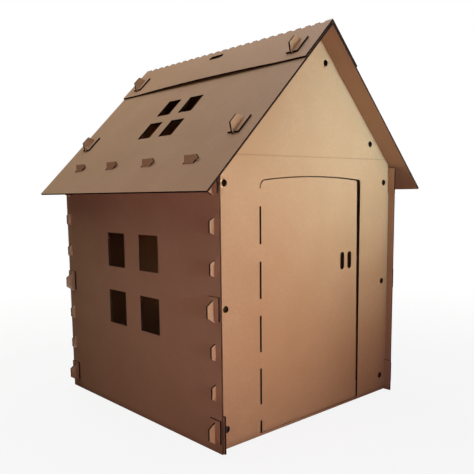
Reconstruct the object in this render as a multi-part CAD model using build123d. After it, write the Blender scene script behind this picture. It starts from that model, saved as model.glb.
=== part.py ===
from build123d import *
import math
import os

# Cardboard playhouse, cut from flat sheets of double-wall corrugated board.
# Millimetres, +Z up, the front faces -Y, and +X is to the right of someone who faces the door.
# The origin is on the floor, below the middle of the roof.

# The board, and how closely the sheets fit each other
board = 7.0
edge_fit = 0.2
slot_play = 0.6
slot_ease = 1.0
cut_overrun = 2.0

# The house
house_width = 1000.0
gable_spacing = 975.0
corner_lip = 30.0
wall_height = 970.0
roof_angle = 44.5
eave_reach = 97.0
gable_overhang = 84.0

# Seven tabs up each side of a gable, of which every third is a lock tab
tab_rows = 7
lock_every = 3
lowest_tab = 69.0
tab_top_margin = 61.0
lock_root = 75.0
lock_tip = 40.0
wall_lock_reach = 33.0
roof_lock_reach = 36.0
lock_notch = 12.0
peg_root = 57.0
peg_tip = 38.0
peg_reach = 18.0

# The two lock tabs on each slope of a gable: how far the upper one is above the lower edge of the
# ridge cap, and the lower one above the side wall, both along the slope
cap_tab_margin = 71.0
slope_tab_rise = 164.0

# The round holes in a gable, one beside each lock tab
gable_hole = 24.0
gable_hole_inset = 47.0
gable_hole_drop = 43.0

# The lock clip, a plate that is open at its lower edge and drops over a lock tab
clip_width = 54.0
clip_height = 81.0
clip_rise = 49.0

# The plates that double the board inside the corners. One end of a plate laps further past its slot
# than the other: the long lap stands a little proud of the side wall's end, and a plate that is
# turned round leaves the short lap there.
low_plate_height = 132.0
high_plate_height = 105.0
plate_long_lap = 35.0
plate_short_lap = 21.0

# The door
hinge_x = -289.0
jamb_x = 290.0
sill_height = 10.0
door_shoulder = 920.0
door_crest = 934.0
door_kerf = 4.0
door_foot_gap = 1.5
latch_gap_low = 11.5
latch_gap_high = 23.0
door_corner_hinge = 30.0
door_corner_latch = 12.0
hinge_slot_width = 9.0
hinge_slot_length = 132.0
hinge_bridge = 61.0
hinge_cut_start = 890.0
door_grip_x = 200.0
door_grip_height = 600.0
door_grip_pitch = 46.0
door_grip_length = 70.0
door_grip_width = 25.0

# The score line across each gable, and how far it is above the top of the side walls
score_rise = 33.0
score_width = 2.0
score_depth = 0.5

# The window in each side wall
window_centre = 538.0
window_pane_width = 124.0
window_pane_height = 138.0
window_bar_upright = 102.0
window_bar_level = 97.0

# The skylight in each roof panel
skylight_centre = 417.0
skylight_pane_width = 84.0
skylight_pane_length = 95.0
skylight_bar_upright = 58.0
skylight_bar_level = 44.0

# The hooks that hold the eaves down
hook_count = 4
hook_pitch = 252.0
hook_length = 74.0
hook_crown = 63.0
hook_throat = 56.0
hook_neck = 48.0
hook_height = 26.0
hook_nose = 14.0
hook_slot_foot = 4.0

# The ridge cap, whose flaps bow off the roof between the clips of its tabs
cap_length = 200.0
cap_bow = 7.0
cap_bow_stations = 9
cap_fold_radius = 1.5
cap_slot_centre = 44.0
cap_slot_length = 83.0
cap_slot_width = 25.0
cap_slot_shift = 11.0
cap_bridges = 25
cap_cut_share = 0.55
cap_kerf = 4.0

# Worked out from the sizes above
slope_sin = math.sin(math.radians(roof_angle))
slope_cos = math.cos(math.radians(roof_angle))
slope_tan = math.tan(math.radians(roof_angle))
half_width = house_width / 2
inner_half_width = half_width - board
gable_y = gable_spacing / 2
roof_length = gable_spacing + 2 * gable_overhang
ridge_height = wall_height + edge_fit + board / slope_cos + half_width * slope_tan
panel_top = board * slope_tan + edge_fit
panel_length = (half_width + eave_reach) / slope_cos
cap_lift = board + edge_fit
cap_bow_half = (gable_spacing - clip_width) / 2
clip_layer = board + edge_fit
sheet_slot = board + slot_play
tab_pitch = (wall_height - lowest_tab - tab_top_margin) / (tab_rows - 1)
tab_heights = [lowest_tab + row * tab_pitch for row in range(tab_rows)]
lock_heights = tab_heights[::lock_every]
slope_tab_high = cap_length - cap_tab_margin
slope_tab_low = half_width / slope_cos - slope_tab_rise
score_height = wall_height + score_rise
outward_right = (1, 0, 0)
outward_slope = (slope_sin, 0, slope_cos)


def outline(points):
    """A flat face inside straight edges through the points."""
    return make_face(Polyline(*points, close=True))


def mirrored(shape):
    """The same shape on the other side of the house, or of a sketch's upright axis."""
    return mirror(shape, about=Plane.YZ)


def slope_point(distance, lift):
    """A point of the right slope: how far down from the ridge, and how far out of the panel's outer face."""
    x = distance * slope_cos + lift * slope_sin
    z = ridge_height - distance * slope_sin + lift * slope_cos
    return (x, z)


def slope_spot(distance, lift):
    """The same point for a sketch of a gable, turned so that its own X points out of the roof."""
    x, z = slope_point(distance, lift)
    return Pos(x, z) * Rot(0, 0, 90 - roof_angle)


def lock_tab(root_depth, reach):
    """A lock tab that points along +X, with X at zero on the outer face that its clip lies on.

    It is a half hexagon. A notch in the upper edge of its neck takes the bar of the clip.
    """
    half_root = lock_root / 2
    half_tip = lock_tip / 2
    notch_floor = half_root - lock_notch
    return outline([
        (-root_depth, -half_root),
        (clip_layer, -half_root),
        (reach, -half_tip),
        (reach, half_tip),
        (clip_layer, half_root),
        (clip_layer, notch_floor),
        (-edge_fit, notch_floor),
        (-edge_fit, half_root),
        (-root_depth, half_root),
    ])


def peg_tab(root_depth):
    """A small tab without a clip, narrower towards its tip."""
    half_root = peg_root / 2
    half_tip = peg_tip / 2
    return outline([
        (-root_depth, -half_root),
        (0, -half_root),
        (peg_reach, -half_tip),
        (peg_reach, half_tip),
        (0, half_root),
        (-root_depth, half_root),
    ])


def gable_right_tabs():
    """The tabs on the right of a gable: seven through the side wall and two through the roof."""
    deep_root = 3 * board
    tabs = []
    for height in tab_heights:
        is_lock = height in lock_heights
        tab = lock_tab(deep_root, wall_lock_reach) if is_lock else peg_tab(deep_root)
        tabs.append(Pos(half_width, height) * tab)
    tabs.append(slope_spot(slope_tab_low, 0) * lock_tab(deep_root, roof_lock_reach))
    through_cap = lock_tab(deep_root + cap_lift, roof_lock_reach)
    tabs.append(slope_spot(slope_tab_high, cap_lift) * through_cap)
    return Sketch() + tabs


def gable_right_holes():
    """The round holes on the right of a gable, one beside each lock tab."""
    hole = Circle(gable_hole / 2)
    holes = [Pos(half_width - gable_hole_inset, height) * hole for height in lock_heights]
    for distance in (slope_tab_low, slope_tab_high):
        holes.append(slope_spot(distance, -gable_hole_drop) * hole)
    return Sketch() + holes


def plate_recess():
    """What a gable's right edge gives up to the two corner plates."""
    low_top = low_plate_height + edge_fit
    high_bottom = wall_height - high_plate_height - edge_fit
    depth = board + edge_fit
    low = Pos(inner_half_width, low_top / 2) * Rectangle(2 * depth, low_top)
    high_span = ridge_height - high_bottom
    high = Pos(inner_half_width, high_bottom + high_span / 2) * Rectangle(2 * depth, high_span)
    return Sketch() + [low, high]


def recess_fillers():
    """The necks of the lock tabs where they cross the corner plates."""
    necks = []
    for height in (lock_heights[0], lock_heights[-1]):
        neck = Rectangle(4 * board, lock_root)
        necks.append(Pos(inner_half_width - board, height) * neck)
    return Sketch() + necks


def gable_sketch():
    """A gable as it is cut: a house-shaped sheet with its tabs and holes."""
    wall_edge = inner_half_width - edge_fit
    apex = ridge_height - (board + edge_fit) / slope_cos
    shoulder = apex - wall_edge * slope_tan
    sheet = outline([
        (-wall_edge, 0),
        (wall_edge, 0),
        (wall_edge, shoulder),
        (0, apex),
        (-wall_edge, shoulder),
    ])
    recess = plate_recess()
    tabs = gable_right_tabs() + recess_fillers()
    holes = gable_right_holes()
    sheet = sheet - recess - mirrored(recess)
    sheet = sheet + tabs + mirrored(tabs)
    return sheet - holes - mirrored(holes)


def gable_solid(sketch, y, score_side):
    """A gable sheet standing at y, with its score line on the side that faces out."""
    face_plane = Plane.XZ.offset(-y - board / 2)
    sheet = extrude(face_plane * sketch, amount=board)
    outer_face = y + score_side * board / 2
    score = Pos(0, outer_face, score_height) * Box(house_width, 2 * score_depth, score_width)
    return sheet - score


def door_outline(left, right_low, right_high, bottom, shoulder, crest, left_corner, right_corner):
    """The door's outline: upright sides and a top that bows up to its crest."""
    low_left = (left, bottom)
    low_right = (right_low, bottom)
    high_right = (right_high, shoulder)
    high_left = (left, shoulder)
    middle = ((left + right_high) / 2, crest)
    edges = [
        Line(low_left, low_right),
        Line(low_right, high_right),
        ThreePointArc(high_right, middle, high_left),
        Line(high_left, low_left),
    ]
    face = make_face(Wire(edges))
    corners = face.vertices().sort_by(Axis.Y)[-2:].sort_by(Axis.X)
    face = fillet(corners[0], left_corner)
    corner = face.vertices().sort_by(Axis.Y)[-3:].sort_by(Axis.X)[-1]
    return fillet(corner, right_corner)


def hinge_slots():
    """The long slots of the perforated fold that the door hangs on."""
    slots = []
    top = hinge_cut_start - hinge_bridge
    while top > sill_height:
        bottom = max(top - hinge_slot_length, sill_height)
        centre = Pos(hinge_x + door_kerf / 2, (top + bottom) / 2)
        slots.append(centre * Rectangle(hinge_slot_width, top - bottom))
        top = top - hinge_slot_length - hinge_bridge
    return Sketch() + slots


def door_cuts():
    """All the cuts that make the door: its free edges, its hinge slots and two finger grips."""
    opening = door_outline(hinge_x, jamb_x, jamb_x, sill_height, door_shoulder, door_crest,
                           door_corner_hinge, door_corner_latch)
    leaf = door_outline(hinge_x + door_kerf, jamb_x - latch_gap_low, jamb_x - latch_gap_high,
                        sill_height + door_foot_gap, door_shoulder - door_kerf, door_crest - door_kerf,
                        door_corner_hinge - door_kerf, door_corner_latch - door_kerf)
    hinge_span = hinge_cut_start - sill_height - door_foot_gap
    hinge_middle = sill_height + door_foot_gap + hinge_span / 2
    hinge_strip = Pos(hinge_x, hinge_middle) * Rectangle(2 * hinge_slot_width, hinge_span)
    free_cut = opening - leaf - hinge_strip
    grips = []
    for side in (-1, 1):
        centre = Pos(door_grip_x + side * door_grip_pitch / 2, door_grip_height)
        grips.append(centre * SlotOverall(door_grip_length, door_grip_width, rotation=90))
    return free_cut + hinge_slots() + grips


def front_wall():
    return gable_solid(gable_sketch() - door_cuts(), -gable_y, -1)


def rear_wall():
    return gable_solid(gable_sketch(), gable_y, 1)


def panes(pane_across, pane_along, bar_across, bar_along):
    """Four panes in two rows, about the middle of the window."""
    across = pane_across + bar_across
    along = pane_along + bar_along
    return Sketch() + GridLocations(across, along, 2, 2) * Rectangle(pane_across, pane_along)


def eave_hooks():
    """The hooks on the top edge of a side wall, in a sketch of Y and Z, all with their noses to the front."""
    surface = wall_height + edge_fit + board / slope_cos
    hooks = []
    for place in range(hook_count):
        middle = (place - (hook_count - 1) / 2) * hook_pitch
        back = middle + hook_length / 2
        throat_height = surface + board * slope_tan + edge_fit
        hooks.append(outline([
            (back, wall_height - board),
            (back, surface + hook_height),
            (back - hook_crown, surface + hook_height),
            (back - hook_length, surface + hook_nose),
            (back - hook_throat, throat_height),
            (back - hook_neck, surface),
            (back - hook_neck, wall_height - board),
        ]))
    return Sketch() + hooks


def side_wall_slots():
    """The slots that take the gables' tabs, at both ends of a side wall."""
    slots = []
    for y in (-gable_y, gable_y):
        for height in tab_heights:
            root = lock_root if height in lock_heights else peg_root
            slots.append(Pos(y, height) * Rectangle(sheet_slot, root + slot_ease))
    return Sketch() + slots


def right_side_wall():
    """A side wall: a plain sheet with a window, tab slots and hooks, lapping past both gables."""
    length = gable_spacing + 2 * corner_lip
    sheet = Pos(0, wall_height / 2) * Rectangle(length, wall_height)
    window = Pos(0, window_centre) * panes(window_pane_width, window_pane_height,
                                           window_bar_upright, window_bar_level)
    sheet = sheet + eave_hooks() - window - side_wall_slots()
    return extrude(Plane.YZ.offset(inner_half_width) * sheet, amount=board)


def slope_plane(lift):
    """The right slope as a drawing plane: X runs down from the ridge and Y along the house."""
    x, z = slope_point(0, lift)
    return Plane(origin=(x, 0, z), x_dir=(slope_cos, 0, -slope_sin), z_dir=outward_slope)


def gable_tab_slots(distances):
    """Slots in a roof sheet for the gables' tabs at these distances down the slope."""
    slots = []
    for y in (-gable_y, gable_y):
        for distance in distances:
            slots.append(Pos(distance, y) * Rectangle(lock_root + slot_ease, sheet_slot))
    return Sketch() + slots


def hook_slots():
    """Slots in a roof panel for the hooks, cut square to the panel and wide enough for upright hooks."""
    upper = inner_half_width / slope_cos - slot_play / 2
    lower = half_width / slope_cos + board * slope_tan + slot_play / 2
    slot_length = hook_slot_foot + hook_throat + slot_ease / 2
    slots = []
    for place in range(hook_count):
        middle = (place - (hook_count - 1) / 2) * hook_pitch
        back = middle + hook_length / 2 + hook_slot_foot
        centre = Pos((upper + lower) / 2, back - slot_length / 2)
        slots.append(centre * Rectangle(lower - upper, slot_length))
    return Sketch() + slots


def hand_slot():
    """The slot near the ridge, through the cap and the panel below it."""
    centre = Pos(cap_slot_centre, cap_slot_shift)
    return centre * SlotOverall(cap_slot_length, cap_slot_width, rotation=90)


def right_roof_panel():
    """A roof panel: a flat sheet with a skylight and the slots for tabs and hooks."""
    length = panel_length - panel_top
    sheet = Pos(panel_top + length / 2, 0) * Rectangle(length, roof_length)
    skylight = Pos(skylight_centre, 0) * panes(skylight_pane_length, skylight_pane_width,
                                               skylight_bar_level, skylight_bar_upright)
    cuts = gable_tab_slots([slope_tab_low, slope_tab_high]) + hook_slots() + hand_slot()
    return extrude(slope_plane(-board) * (sheet - skylight - cuts), amount=board)


def cap_perforation(middle):
    """One long cut through the fold of the cap. Where it is cut, the two flaps stand square at the ridge."""
    x_in, z_in = slope_point(cap_kerf / 2, edge_fit - cut_overrun)
    x_out, z_out = slope_point(cap_kerf / 2, edge_fit + 3 * board)
    wedge = outline([(-x_in, z_in), (x_in, z_in), (x_out, z_out), (-x_out, z_out)])
    cut_length = cap_cut_share * roof_length / cap_bridges
    start = Plane.XZ.offset(-middle - cut_length / 2)
    return extrude(start * wedge, amount=cut_length)


def cap_section(y):
    """The cap's section at y: two flaps, spread a little wider the further y is from the clips."""
    bow = cap_bow * max(0, 1 - (y / cap_bow_half) ** 2)
    flap_angle = math.radians(roof_angle) - math.asin(bow / cap_length)
    fold_height = ridge_height + edge_fit / slope_cos
    rim_x = cap_length * math.cos(flap_angle)
    rim_height = fold_height - cap_length * math.sin(flap_angle)
    rim_out = board * math.sin(flap_angle)
    rim_up = board * math.cos(flap_angle)
    section = outline([
        (0, fold_height),
        (rim_x, rim_height),
        (rim_x + rim_out, rim_height + rim_up),
        (0, fold_height + board / math.cos(flap_angle)),
        (-rim_x - rim_out, rim_height + rim_up),
        (-rim_x, rim_height),
    ])
    crown = section.vertices().sort_by(Axis.Y)[-1]
    return Plane.XZ.offset(-y) * fillet(crown, cap_fold_radius)


def ridge_cap():
    """The cap: one sheet folded over the ridge. Cuts and bridges take turns along its fold."""
    station_pitch = 2 * cap_bow_half / (cap_bow_stations - 1)
    stations = [station * station_pitch - cap_bow_half for station in range(cap_bow_stations)]
    cap = loft([cap_section(y) for y in stations])
    end_length = roof_length / 2 - cap_bow_half
    cap = cap + extrude(cap_section(-cap_bow_half), amount=end_length)
    cap = cap + extrude(cap_section(cap_bow_half), amount=-end_length)
    cuts = gable_tab_slots([slope_tab_high]) + hand_slot()
    through = extrude(slope_plane(edge_fit - cut_overrun) * cuts, amount=board + 2 * cut_overrun)
    cap = cap - through - mirrored(through)
    pitch = roof_length / cap_bridges
    for place in range(1, cap_bridges):
        middle = place * pitch - roof_length / 2
        cap = cap - cap_perforation(middle)
    return cap


def lock_clip(origin, outward):
    """A lock clip lying on a sheet at a lock tab. Its slot opens downwards and its bar fills the notch."""
    lower = clip_rise - clip_height
    slot_top = lock_root / 2 - lock_notch + edge_fit
    plate = Pos(0, clip_rise - clip_height / 2) * Rectangle(clip_width, clip_height)
    slot_bottom = lower - cut_overrun
    slot = Pos(0, (slot_top + slot_bottom) / 2) * Rectangle(sheet_slot, slot_top - slot_bottom)
    seat = Plane(origin=origin, x_dir=(0, 1, 0), z_dir=outward)
    return extrude(seat * (plate - slot), amount=board)


def corner_plate(y, outer_lap, inner_lap, bottom, height, tab_height):
    """A second layer inside a corner. It laps the gable at y by one length outwards and by one inwards."""
    side = 1 if y > 0 else -1
    middle = y + side * (outer_lap - inner_lap) / 2
    sheet = Pos(middle, bottom + height / 2) * Rectangle(outer_lap + inner_lap, height)
    slot = Pos(y, tab_height) * Rectangle(sheet_slot, lock_root + slot_ease)
    return extrude(Plane.YZ.offset(inner_half_width - board) * (sheet - slot), amount=board)


def both_sides(name, right_solid):
    """A piece of the right side and its mirror image on the left."""
    return {
        name.replace("SIDE", "right"): right_solid,
        name.replace("SIDE", "left"): mirrored(right_solid),
    }


def all_pieces():
    """Every piece of the house by its name."""
    pieces = {"front_wall": front_wall(), "rear_wall": rear_wall(), "ridge_cap": ridge_cap()}
    pieces.update(both_sides("SIDE_side_wall", right_side_wall()))
    pieces.update(both_sides("SIDE_roof_panel", right_roof_panel()))
    high_bottom = wall_height - high_plate_height
    for end, y in (("front", -gable_y), ("rear", gable_y)):
        for level, height in zip(("low", "middle", "high"), lock_heights):
            clip = lock_clip((half_width, y, height), outward_right)
            pieces.update(both_sides(f"{end}_SIDE_wall_clip_{level}", clip))
        for level, distance, lift in (("low", slope_tab_low, 0), ("high", slope_tab_high, cap_lift)):
            x, z = slope_point(distance, lift)
            clip = lock_clip((x, y, z), outward_slope)
            pieces.update(both_sides(f"{end}_SIDE_roof_clip_{level}", clip))
        low = corner_plate(y, plate_long_lap, plate_short_lap,
                           0, low_plate_height, lock_heights[0])
        high = corner_plate(y, plate_long_lap, plate_short_lap,
                            high_bottom, high_plate_height, lock_heights[-1])
        turned = corner_plate(y, plate_short_lap, plate_long_lap,
                              high_bottom, high_plate_height, lock_heights[-1])
        pieces.update(both_sides(f"{end}_SIDE_corner_plate_low", low))
        pieces[f"{end}_right_corner_plate_high"] = high
        pieces[f"{end}_left_corner_plate_high"] = mirrored(turned)
    return pieces


os.makedirs("parts", exist_ok=True)
for piece_name, piece in all_pieces().items():
    export_step(piece, f"parts/{piece_name}.step")
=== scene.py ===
# The looks of a child's playhouse, slotted together from sheets of double-wall corrugated board.
# Kraft paper outside, dark laser-cut edges, a pale studio around it. Metres, +Z up, the door faces -Y.
import math

import bpy
from mathutils import Matrix, Vector


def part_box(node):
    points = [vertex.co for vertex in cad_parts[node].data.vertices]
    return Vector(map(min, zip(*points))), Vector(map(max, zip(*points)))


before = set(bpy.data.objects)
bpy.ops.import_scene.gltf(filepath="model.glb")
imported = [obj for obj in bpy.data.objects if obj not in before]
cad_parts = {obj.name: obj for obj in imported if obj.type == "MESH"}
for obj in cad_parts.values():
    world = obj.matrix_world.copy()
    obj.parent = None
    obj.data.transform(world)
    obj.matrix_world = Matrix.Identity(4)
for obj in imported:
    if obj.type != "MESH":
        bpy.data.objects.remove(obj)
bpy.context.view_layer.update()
bpy.ops.object.select_all(action="DESELECT")

MM = 0.001

# The directions through a gable, a side wall and a roof slope, seen on the right of the house
ROOF_ANGLE = math.radians(44.5)
THROUGH_GABLE = (0, 1, 0)
THROUGH_WALL = (1, 0, 0)
THROUGH_ROOF = (math.sin(ROOF_ANGLE), 0, math.cos(ROOF_ANGLE))
DOWN_ROOF = (math.cos(ROOF_ANGLE), 0, -math.sin(ROOF_ANGLE))
ALONG_HOUSE = (0, 1, 0)
ACROSS_HOUSE = (1, 0, 0)

# How thick the board is, and how far from the middle of the house each sheet's inner face lies
WALL_LOW, WALL_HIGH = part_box("right_side_wall")
ROOF_LOW, ROOF_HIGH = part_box("right_roof_panel")
BOARD = WALL_HIGH.x - WALL_LOW.x
CAP_FIT = 0.2 * MM
WALL_INNER = WALL_LOW.x
GABLE_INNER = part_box("rear_wall")[0].y
ROOF_OUTER = (ROOF_LOW.x + BOARD * THROUGH_ROOF[0]) * THROUGH_ROOF[0] + ROOF_HIGH.z * THROUGH_ROOF[2]
ROOF_INNER = ROOF_OUTER - BOARD
CAP_INNER = ROOF_INNER + CAP_FIT

# How far the cap's lower edge bows off the roof between its clips, and half the length of the bow
CAP_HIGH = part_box("ridge_cap")[1]
CAP_BOW = 7 * MM
CAP_BOW_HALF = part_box("rear_right_roof_clip_high")[0].y
CAP_LENGTH = (CAP_HIGH.x - BOARD * THROUGH_ROOF[0]) / DOWN_ROOF[0]

# The board: two fluted papers between three flat ones, from the inner face outwards
LINER = 0.45 * MM
MIDDLE_LINER = 3.9 * MM
FLUTE_PAPER = 0.35 * MM
WIDE_FLUTE = 7.9 * MM
WIDE_FLUTE_MIDDLE = 2.1 * MM
WIDE_FLUTE_SWING = 1.45 * MM
NARROW_FLUTE = 6.2 * MM
NARROW_FLUTE_MIDDLE = 5.3 * MM
NARROW_FLUTE_SWING = 1.1 * MM

# The marks in the kraft paper: their size, their detail, and the levels where they start and are full.
# Real fibres are far finer, so they are drawn coarser here, or none would show.
BLOTCHES = (160 * MM, 2.0, 0.3, 0.7)
CLOUDS = (11 * MM, 3.0, 0.3, 0.7)
FIBRES = (1.3 * MM, 4.0, 0.35, 0.65)
FLECKS = (1.2 * MM, 1.0, 0.75, 0.8)
SCORCHES = (45 * MM, 4.0, 0.35, 0.75)

# Which way the marks are drawn out: not at all, up the walls, or along the roof
EVEN = (1, 1, 1)
UPRIGHT = (1, 1, 4)
LENGTHWISE = (1, 4, 1)

# The colours of the paper and of what lies on it, and the painted shade at the foot of the walls and in the
# crease
KRAFT_DEEP = "#C19C74"
KRAFT_PALE = "#CAA680"
CLOUD_SHADE = "#C09A72"
FIBRE_SHADE = "#BB956E"
FLECK_SHADE = "#93704E"
# Painted shade at the foot of the walls, from the floor
FLOOR_SHADOW_SHADE = "#8C6C4E"
# Painted shade in the gable crease
CREASE_PAINTED_SHADE = "#A07E5A"
MARK_AND_SHADE_STRENGTH = 0.6
FLECK_STRENGTH = 1.0

# The colours of a cut edge: painted shade in the hollow flute channels, then the papers where the laser burnt
# most and least
BLACK_CUT = ("#0C0604", "#2E1A10", "#5A3B28")
BROWN_CUT = ("#2A1A10", "#6C5540", "#A87E58")

# How the paper shines: satin on the faces, duller where fibres lie, dull on the cut edges
PAPER_IOR = 1.36
SATIN = 0.58
FIBRE_SATIN = 0.68
DULL = 0.9

# How high the fluting tells through the liner, how high a fibre is, and how deep the channels of an edge look
FLUTE_TELL = 0.04 * MM
FIBRE_RISE = 0.03 * MM
CHANNEL_DEPTH = 1.0 * MM
RELIEF_STRENGTH = 0.6

# A crease pressed across each gable above the walls, where its sheet was folded for its box. Its dent is a
# bump, and its line is painted darker as painted shade in the crease.
CREASE_HEIGHT = 1004 * MM
CREASE_REACH = 4 * MM
CREASE_DEPTH = 0.3 * MM

# The walls are painted a little darker at the foot, as painted shade from the floor, up to this height
FLOOR_SHADOW_REACH = 26 * MM

# A surface counts as a face where it leans less than 60 degrees off its sheet, and else as a cut edge
FACE_LIMIT = math.cos(math.radians(60))

# The sockets of a Mix node, whose names are alike
SHARE = 0
FIRST_VALUE = 2
SECOND_VALUE = 3
FIRST_COLOUR = 6
SECOND_COLOUR = 7
MIXED_COLOUR = 2

# The studio: a round floor just below the house, glowing outside it and fading to white
WHITE = "#FFFFFF"
FLOOR_COLOUR = "#E9E7E3"
FLOOR_RADIUS = 30.0
FLOOR_SIDES = 96
FLOOR_DROP = 0.5 * MM
FADE_START = 1.2
FADE_END = 3.5
FLOOR_GLOW = 0.88

# A softbox with no grid in front spreads its light this far, in degrees
NO_GRID = 180

# The camera, fitted to the photograph: lens and sensor in millimetres, its place, and its angles in degrees
LENS = 45.59
SENSOR = 36.0
SHIFT_X = 0.0591
SHIFT_Y = 0.0675
CAMERA_PLACE = (-1.7766, -1.9641, 0.8791)
CAMERA_YAW = -40.375
CAMERA_PITCH = -7.26
CAMERA_ROLL = -0.914


def linear(hex_colour):
    """An sRGB hex colour as the linear RGBA that the shaders take."""
    channels = [int(hex_colour[place:place + 2], 16) / 255 for place in (1, 3, 5)]
    return tuple(c / 12.92 if c <= 0.04045 else ((c + 0.055) / 1.055) ** 2.4 for c in channels) + (1.0,)


def add_node(tree, kind, inputs=(), **settings):
    """A node with its settings, and its inputs, by name or place, set to values or linked to sockets."""
    node = tree.nodes.new(kind)
    for name, value in settings.items():
        setattr(node, name, value)
    for key, value in dict(inputs).items():
        if isinstance(value, bpy.types.NodeSocket):
            tree.links.new(value, node.inputs[key])
        else:
            node.inputs[key].default_value = value
    return node


def cap_rise(tree, folded):
    """How far the bowed cap lies off the straight slope: most at the middle of its lower edges."""
    down = add_node(tree, "ShaderNodeVectorMath", {0: folded, 1: DOWN_ROOF}, operation="DOT_PRODUCT")
    ridge_down = CAP_HIGH.z * DOWN_ROOF[2]
    share = add_node(tree, "ShaderNodeMapRange",
                     {"Value": down.outputs["Value"], "From Min": ridge_down,
                      "From Max": ridge_down + CAP_LENGTH, "To Max": CAP_BOW})
    split = add_node(tree, "ShaderNodeSeparateXYZ", {0: folded})
    along = add_node(tree, "ShaderNodeMath", {0: split.outputs["Y"], 1: CAP_BOW_HALF}, operation="DIVIDE")
    squared = add_node(tree, "ShaderNodeMath", {0: along.outputs[0], 1: 2.0}, operation="POWER")
    arch = add_node(tree, "ShaderNodeMath", {0: 1.0, 1: squared.outputs[0]}, operation="SUBTRACT",
                    use_clamp=True)
    rise = add_node(tree, "ShaderNodeMath", {0: share.outputs[0], 1: arch.outputs[0]}, operation="MULTIPLY")
    return rise.outputs[0]


def sheet_coordinates(tree, through, across, inner_face, bowed):
    """A point of the house, how deep in its sheet it is, how far across the flutes, and if it is on a face.

    The house is the same on both sides and at both ends, so the point is folded onto the right rear quarter.
    """
    place = add_node(tree, "ShaderNodeTexCoord")
    point = place.outputs["Object"]
    folded = add_node(tree, "ShaderNodeVectorMath", {0: point}, operation="ABSOLUTE")
    depth = add_node(tree, "ShaderNodeVectorMath", {0: folded.outputs[0], 1: through},
                     operation="DOT_PRODUCT")
    inside = add_node(tree, "ShaderNodeMath", {0: depth.outputs["Value"], 1: inner_face},
                      operation="SUBTRACT")
    if bowed:
        rise = cap_rise(tree, folded.outputs[0])
        inside = add_node(tree, "ShaderNodeMath", {0: inside.outputs[0], 1: rise}, operation="SUBTRACT")
    layer = add_node(tree, "ShaderNodeMath", {0: inside.outputs[0], 1: BOARD}, operation="FLOORED_MODULO")
    run = add_node(tree, "ShaderNodeVectorMath", {0: folded.outputs[0], 1: across}, operation="DOT_PRODUCT")
    split = add_node(tree, "ShaderNodeSeparateXYZ", {0: point})
    side = add_node(tree, "ShaderNodeMath", {0: split.outputs["X"]}, operation="SIGN")
    flip = add_node(tree, "ShaderNodeCombineXYZ", {"X": side.outputs[0], "Y": 1.0, "Z": 1.0})
    facing = add_node(tree, "ShaderNodeVectorMath", {0: place.outputs["Normal"], 1: flip.outputs[0]},
                      operation="MULTIPLY")
    square = add_node(tree, "ShaderNodeVectorMath", {0: facing.outputs[0], 1: through},
                      operation="DOT_PRODUCT")
    squareness = add_node(tree, "ShaderNodeMath", {0: square.outputs["Value"]}, operation="ABSOLUTE")
    is_face = add_node(tree, "ShaderNodeMath", {0: squareness.outputs[0], 1: FACE_LIMIT},
                       operation="GREATER_THAN")
    return point, layer.outputs[0], run.outputs["Value"], is_face.outputs[0]


def flute_wave(tree, run, pitch):
    """The wave of a fluted paper across the sheet, from minus one to one."""
    phase = add_node(tree, "ShaderNodeMath", {0: run, 1: math.tau / pitch}, operation="MULTIPLY")
    return add_node(tree, "ShaderNodeMath", {0: phase.outputs[0]}, operation="COSINE").outputs[0]


def cut_papers(tree, depth, run):
    """Where paper shows on a cut edge: two waves, and the three liners beside them."""
    papers = []
    for pitch, middle, swing in ((WIDE_FLUTE, WIDE_FLUTE_MIDDLE, WIDE_FLUTE_SWING),
                                 (NARROW_FLUTE, NARROW_FLUTE_MIDDLE, NARROW_FLUTE_SWING)):
        line = add_node(tree, "ShaderNodeMath", {0: flute_wave(tree, run, pitch), 1: swing, 2: middle},
                        operation="MULTIPLY_ADD")
        papers.append((line.outputs[0], FLUTE_PAPER))
    for middle in (LINER / 2, MIDDLE_LINER, BOARD - LINER / 2):
        papers.append((middle, LINER / 2))
    shown = 0.0
    for middle, reach in papers:
        paper = add_node(tree, "ShaderNodeMath", {0: depth, 1: middle, 2: reach}, operation="COMPARE")
        shown = add_node(tree, "ShaderNodeMath", {0: shown, 1: paper.outputs[0]},
                         operation="MAXIMUM").outputs[0]
    return shown


def paper_pattern(tree, point, marks, stretch):
    """A pattern in the paper, zero where its marks haven't started and one where they are full."""
    size, detail, start, full = marks
    scale = tuple(1 / (size * part) for part in stretch)
    mapped = add_node(tree, "ShaderNodeMapping", {"Vector": point, "Scale": scale})
    noise = add_node(tree, "ShaderNodeTexNoise",
                     {"Vector": mapped.outputs[0], "Scale": 1.0, "Detail": detail})
    level = add_node(tree, "ShaderNodeMapRange",
                     {"Value": noise.outputs[0], "From Min": start, "From Max": full})
    return level.outputs[0]


def level_band(tree, point, height, reach):
    """A band round the house: one at that height, and zero from that far above and below it."""
    split = add_node(tree, "ShaderNodeSeparateXYZ", {0: point})
    above = add_node(tree, "ShaderNodeMath", {0: split.outputs["Z"], 1: height}, operation="SUBTRACT")
    away = add_node(tree, "ShaderNodeMath", {0: above.outputs[0]}, operation="ABSOLUTE")
    band = add_node(tree, "ShaderNodeMapRange",
                    {"Value": away.outputs[0], "From Max": reach, "To Min": 1.0, "To Max": 0.0})
    return band.outputs[0]


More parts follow.
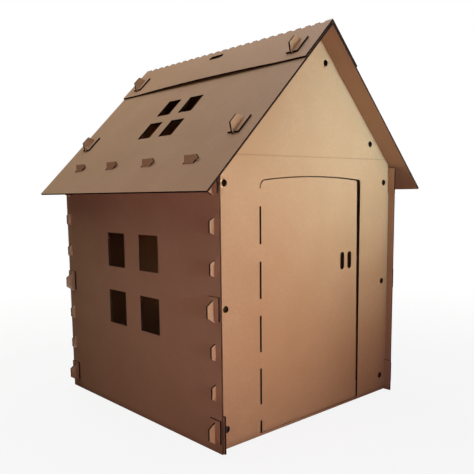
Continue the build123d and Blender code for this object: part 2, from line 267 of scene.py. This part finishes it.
def kraft_liner(tree, point, fibres, stretch, crease):
    """The colour of the outer paper: pale brown, softly blotched and clouded, with fibres and a few flecks.

    It has painted shade at the foot of the walls, where the floor shades them, and painted shade in the
    crease where there is one.
    """
    blotches = paper_pattern(tree, point, BLOTCHES, EVEN)
    layers = [
        (paper_pattern(tree, point, CLOUDS, EVEN), MARK_AND_SHADE_STRENGTH, CLOUD_SHADE),
        (fibres, MARK_AND_SHADE_STRENGTH, FIBRE_SHADE),
        (paper_pattern(tree, point, FLECKS, stretch), FLECK_STRENGTH, FLECK_SHADE),
        # Painted shade at the foot of the walls, from the floor
        (level_band(tree, point, 0.0, FLOOR_SHADOW_REACH), MARK_AND_SHADE_STRENGTH, FLOOR_SHADOW_SHADE),
    ]
    if crease:
        # Painted shade in the crease
        layers.append((crease, MARK_AND_SHADE_STRENGTH, CREASE_PAINTED_SHADE))
    paper = add_node(tree, "ShaderNodeMix",
                     {SHARE: blotches, FIRST_COLOUR: linear(KRAFT_DEEP), SECOND_COLOUR: linear(KRAFT_PALE)},
                     data_type="RGBA")
    for marks, strength, shade in layers:
        share = add_node(tree, "ShaderNodeMath", {0: marks, 1: strength}, operation="MULTIPLY")
        paper = add_node(tree, "ShaderNodeMix",
                         {SHARE: share.outputs[0], FIRST_COLOUR: paper.outputs[MIXED_COLOUR],
                          SECOND_COLOUR: linear(shade)}, data_type="RGBA")
    return paper.outputs[MIXED_COLOUR]


def scorched_edge(tree, point, paper, cut):
    """The colour of a laser-cut edge: scorched papers around channels painted dark as the shade inside the
    hollow flutes, browner where it cut faster.
    """
    channel_shade, burnt, brown = cut
    scorches = paper_pattern(tree, point, SCORCHES, EVEN)
    charred = add_node(tree, "ShaderNodeMix",
                       {SHARE: scorches, FIRST_COLOUR: linear(burnt), SECOND_COLOUR: linear(brown)},
                       data_type="RGBA")
    # Where no paper shows, the edge takes the channel colour, painted shade for the hollow flutes
    edge = add_node(tree, "ShaderNodeMix",
                    {SHARE: paper, FIRST_COLOUR: linear(channel_shade),
                     SECOND_COLOUR: charred.outputs[MIXED_COLOUR]}, data_type="RGBA")
    return edge.outputs[MIXED_COLOUR]


def board_relief(tree, is_face, run, fibres, paper, crease):
    """The relief: fluting, fibres and the crease on a face, and papers that stand out of a cut edge."""
    hair = add_node(tree, "ShaderNodeMath", {0: fibres, 1: FIBRE_RISE}, operation="MULTIPLY")
    face = add_node(tree, "ShaderNodeMath",
                    {0: flute_wave(tree, run, NARROW_FLUTE), 1: FLUTE_TELL, 2: hair.outputs[0]},
                    operation="MULTIPLY_ADD")
    if crease:
        face = add_node(tree, "ShaderNodeMath", {0: crease, 1: -CREASE_DEPTH, 2: face.outputs[0]},
                        operation="MULTIPLY_ADD")
    edge = add_node(tree, "ShaderNodeMath", {0: paper, 1: CHANNEL_DEPTH}, operation="MULTIPLY")
    height = add_node(tree, "ShaderNodeMix",
                      {SHARE: is_face, FIRST_VALUE: edge.outputs[0], SECOND_VALUE: face.outputs[0]},
                      data_type="FLOAT")
    bump = add_node(tree, "ShaderNodeBump",
                    {"Height": height.outputs[0], "Strength": RELIEF_STRENGTH, "Distance": 1.0})
    return bump.outputs[0]


def corrugated_board(name, through, across, inner_face, stretch, cut, bowed=False, creased=False):
    """Unbleached kraft board, double wall, cut by laser.

    Its liners are smooth brown paper with a faint satin sheen from the calender, fibres and soft blotches.
    Its edges are scorched, with the fluted papers between channels painted dark as the shade in the hollow
    flutes.
    """
    material = bpy.data.materials.new(name)
    material.use_nodes = True
    tree = material.node_tree
    shader = tree.nodes["Principled BSDF"]
    point, depth, run, is_face = sheet_coordinates(tree, through, across, inner_face, bowed)
    crease = level_band(tree, point, CREASE_HEIGHT, CREASE_REACH) if creased else None
    fibres = paper_pattern(tree, point, FIBRES, stretch)
    liner = kraft_liner(tree, point, fibres, stretch, crease)
    paper = cut_papers(tree, depth, run)
    edge = scorched_edge(tree, point, paper, cut)
    colour = add_node(tree, "ShaderNodeMix", {SHARE: is_face, FIRST_COLOUR: edge, SECOND_COLOUR: liner},
                      data_type="RGBA")
    satin = add_node(tree, "ShaderNodeMapRange", {"Value": fibres, "To Min": SATIN, "To Max": FIBRE_SATIN})
    roughness = add_node(tree, "ShaderNodeMix",
                         {SHARE: is_face, FIRST_VALUE: DULL, SECOND_VALUE: satin.outputs[0]},
                         data_type="FLOAT")
    relief = board_relief(tree, is_face, run, fibres, paper, crease)
    tree.links.new(colour.outputs[MIXED_COLOUR], shader.inputs["Base Color"])
    tree.links.new(roughness.outputs[0], shader.inputs["Roughness"])
    tree.links.new(relief, shader.inputs["Normal"])
    shader.inputs["IOR"].default_value = PAPER_IOR
    return material


def dress_sheets():
    """Each sheet takes the board whose flutes and edges lie the way that sheet was cut."""
    gable = corrugated_board("kraft_board_gables", THROUGH_GABLE, ACROSS_HOUSE, GABLE_INNER, UPRIGHT,
                             BLACK_CUT, creased=True)
    wall = corrugated_board("kraft_board_walls", THROUGH_WALL, ALONG_HOUSE, WALL_INNER, UPRIGHT, BROWN_CUT)
    clip = corrugated_board("kraft_board_clips", THROUGH_WALL, ALONG_HOUSE, WALL_INNER, UPRIGHT, BLACK_CUT)
    roof = corrugated_board("kraft_board_roof", THROUGH_ROOF, ALONG_HOUSE, ROOF_INNER, LENGTHWISE, BLACK_CUT)
    cap = corrugated_board("kraft_board_cap", THROUGH_ROOF, ALONG_HOUSE, CAP_INNER, LENGTHWISE, BLACK_CUT,
                           bowed=True)
    for name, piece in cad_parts.items():
        if name in ("front_wall", "rear_wall"):
            board = gable
        elif name == "ridge_cap":
            board = cap
        elif "roof" in name:
            board = roof
        elif name.endswith("side_wall"):
            board = wall
        else:
            board = clip
        piece.data.materials.clear()
        piece.data.materials.append(board)


def studio_floor():
    """A pale floor that fades into the backdrop's white, so that no horizon crosses the picture.

    Outside the walls it glows a little, as a lit white floor does. Inside the house it is plain and dim.
    """
    bpy.ops.mesh.primitive_circle_add(vertices=FLOOR_SIDES, radius=FLOOR_RADIUS, fill_type="NGON",
                                      location=(0, 0, -FLOOR_DROP))
    floor = bpy.context.object
    floor.name = "studio_floor"
    material = bpy.data.materials.new("pale_studio_floor")
    material.use_nodes = True
    tree = material.node_tree
    shader = tree.nodes["Principled BSDF"]
    shader.inputs["Base Color"].default_value = linear(FLOOR_COLOUR)
    shader.inputs["Roughness"].default_value = DULL
    place = add_node(tree, "ShaderNodeTexCoord")
    away = add_node(tree, "ShaderNodeVectorMath", {0: place.outputs["Object"]}, operation="LENGTH")
    fade = add_node(tree, "ShaderNodeMapRange",
                    {"Value": away.outputs["Value"], "From Min": FADE_START, "From Max": FADE_END,
                     "To Min": FLOOR_GLOW, "To Max": 1.0})
    folded = add_node(tree, "ShaderNodeVectorMath", {0: place.outputs["Object"]}, operation="ABSOLUTE")
    split = add_node(tree, "ShaderNodeSeparateXYZ", {0: folded.outputs[0]})
    beside = add_node(tree, "ShaderNodeMath", {0: split.outputs["X"], 1: WALL_INNER},
                      operation="GREATER_THAN")
    before = add_node(tree, "ShaderNodeMath", {0: split.outputs["Y"], 1: GABLE_INNER},
                      operation="GREATER_THAN")
    outside = add_node(tree, "ShaderNodeMath", {0: beside.outputs[0], 1: before.outputs[0]},
                       operation="MAXIMUM")
    share = add_node(tree, "ShaderNodeMath", {0: fade.outputs[0], 1: outside.outputs[0]},
                     operation="MULTIPLY")
    glow = add_node(tree, "ShaderNodeEmission", {"Color": linear(WHITE), "Strength": 1.0})
    blend = add_node(tree, "ShaderNodeMixShader",
                     {"Fac": share.outputs[0], 1: shader.outputs[0], 2: glow.outputs[0]})
    tree.links.new(blend.outputs[0], tree.nodes["Material Output"].inputs["Surface"])
    floor.data.materials.append(material)
    floor.visible_diffuse = False
    floor.visible_glossy = False


def studio_world():
    """A white backdrop that the camera sees. It gives no light of its own."""
    world = bpy.data.worlds.new("studio")
    bpy.context.scene.world = world
    world.use_nodes = True
    tree = world.node_tree
    tree.nodes.clear()
    seen = add_node(tree, "ShaderNodeBackground", {"Color": linear(WHITE), "Strength": 1.0})
    dark = add_node(tree, "ShaderNodeBackground", {"Color": linear(WHITE), "Strength": 0.0})
    path = add_node(tree, "ShaderNodeLightPath")
    both = add_node(tree, "ShaderNodeMixShader",
                    {"Fac": path.outputs["Is Camera Ray"], 1: dark.outputs[0], 2: seen.outputs[0]})
    add_node(tree, "ShaderNodeOutputWorld", {"Surface": both.outputs[0]})


def softbox(name, place, target, size, watts, colour, spread=NO_GRID):
    """A square soft light that points at its target, with a grid in front where its spread is narrow."""
    lamp = bpy.data.lights.new(name, "AREA")
    lamp.shape = "SQUARE"
    lamp.size = size
    lamp.spread = math.radians(spread)
    lamp.energy = watts
    lamp.color = linear(colour)[:3]
    box = bpy.data.objects.new(name, lamp)
    bpy.context.scene.collection.objects.link(box)
    box.location = place
    box.rotation_euler = (Vector(target) - Vector(place)).to_track_quat("-Z", "Y").to_euler()
    box.visible_camera = False


def studio_lights():
    """Wide lights overhead, keys before the door and its left edge, and soft fills on every side."""
    softbox("overhead", place=(0, 0, 3.4), target=(0, 0, 0), size=3.0, watts=54.5, colour="#EDEEFF")
    softbox("rear_left_top", place=(-1.6, 2.0, 3.0), target=(0, 0, 1.0),
            size=2.0, watts=19.2, colour="#FFF8E5")
    softbox("front_left_fill", place=(-0.6, -1.9, 0.5), target=(-0.3, -0.5, 0.8),
            size=0.6, watts=5.0, colour="#FCD0FF")
    softbox("left_fill", place=(-1.7, -0.4, 0.5), target=(-0.5, -0.4, 0.5),
            size=0.8, watts=3.6, colour="#FFCDD9")
    softbox("gable_key", place=(0.6, -2.6, 1.0), target=(0.3, -0.5, 1.15),
            size=0.7, watts=2.8, colour="#ADE4FF", spread=40)
    softbox("front_key", place=(0.1, -2.6, 1.2), target=(0.1, -0.5, 1.1),
            size=0.8, watts=2.0, colour="#FFFFED", spread=50)
    softbox("foot_fill", place=(-0.3, -2.4, 0.25), target=(-0.4, -0.5, 0.35),
            size=0.8, watts=1.6, colour="#FFEBD5", spread=50)
    softbox("front_right_key", place=(2.3, -2.43, 0.6), target=(0.35, -0.5, 1.0),
            size=1.0, watts=1.9, colour="#FFB467", spread=50)
    softbox("left_edge_key", place=(-1.05, -3.4, 0.6), target=(-0.64, 0.5, 0.5),
            size=0.4, watts=0.27, colour="#B5E0FF", spread=14)
    softbox("gable_corner_key", place=(-0.65, -3.0, 1.1), target=(-0.45, -0.5, 0.92),
            size=0.35, watts=0.13, colour="#E6FAFF", spread=12)
    softbox("rear_fill", place=(0.8, 3.2, 1.0), target=(0.2, 0.5, 0.7),
            size=2.0, watts=30, colour="#FFFAF2")
    softbox("right_fill", place=(3.2, 0.9, 0.9), target=(0.5, 0.1, 0.6),
            size=2.0, watts=24, colour="#FFFAF2")


def photo_camera():
    """The photograph's view: from the front left, a little below the eaves."""
    lens = bpy.data.cameras.new("photo_camera")
    eye = bpy.data.objects.new("photo_camera", lens)
    bpy.context.scene.collection.objects.link(eye)
    lens.sensor_fit = "HORIZONTAL"
    lens.sensor_width = SENSOR
    lens.lens = LENS
    lens.shift_x = SHIFT_X
    lens.shift_y = SHIFT_Y
    yaw = Matrix.Rotation(math.radians(CAMERA_YAW), 4, "Z")
    pitch = Matrix.Rotation(math.radians(90 + CAMERA_PITCH), 4, "X")
    roll = Matrix.Rotation(math.radians(CAMERA_ROLL), 4, "Z")
    eye.matrix_world = Matrix.Translation(CAMERA_PLACE) @ yaw @ pitch @ roll
    bpy.context.scene.camera = eye


dress_sheets()
studio_floor()
studio_world()
studio_lights()
photo_camera()
bpy.context.scene.view_settings.view_transform = "Standard"
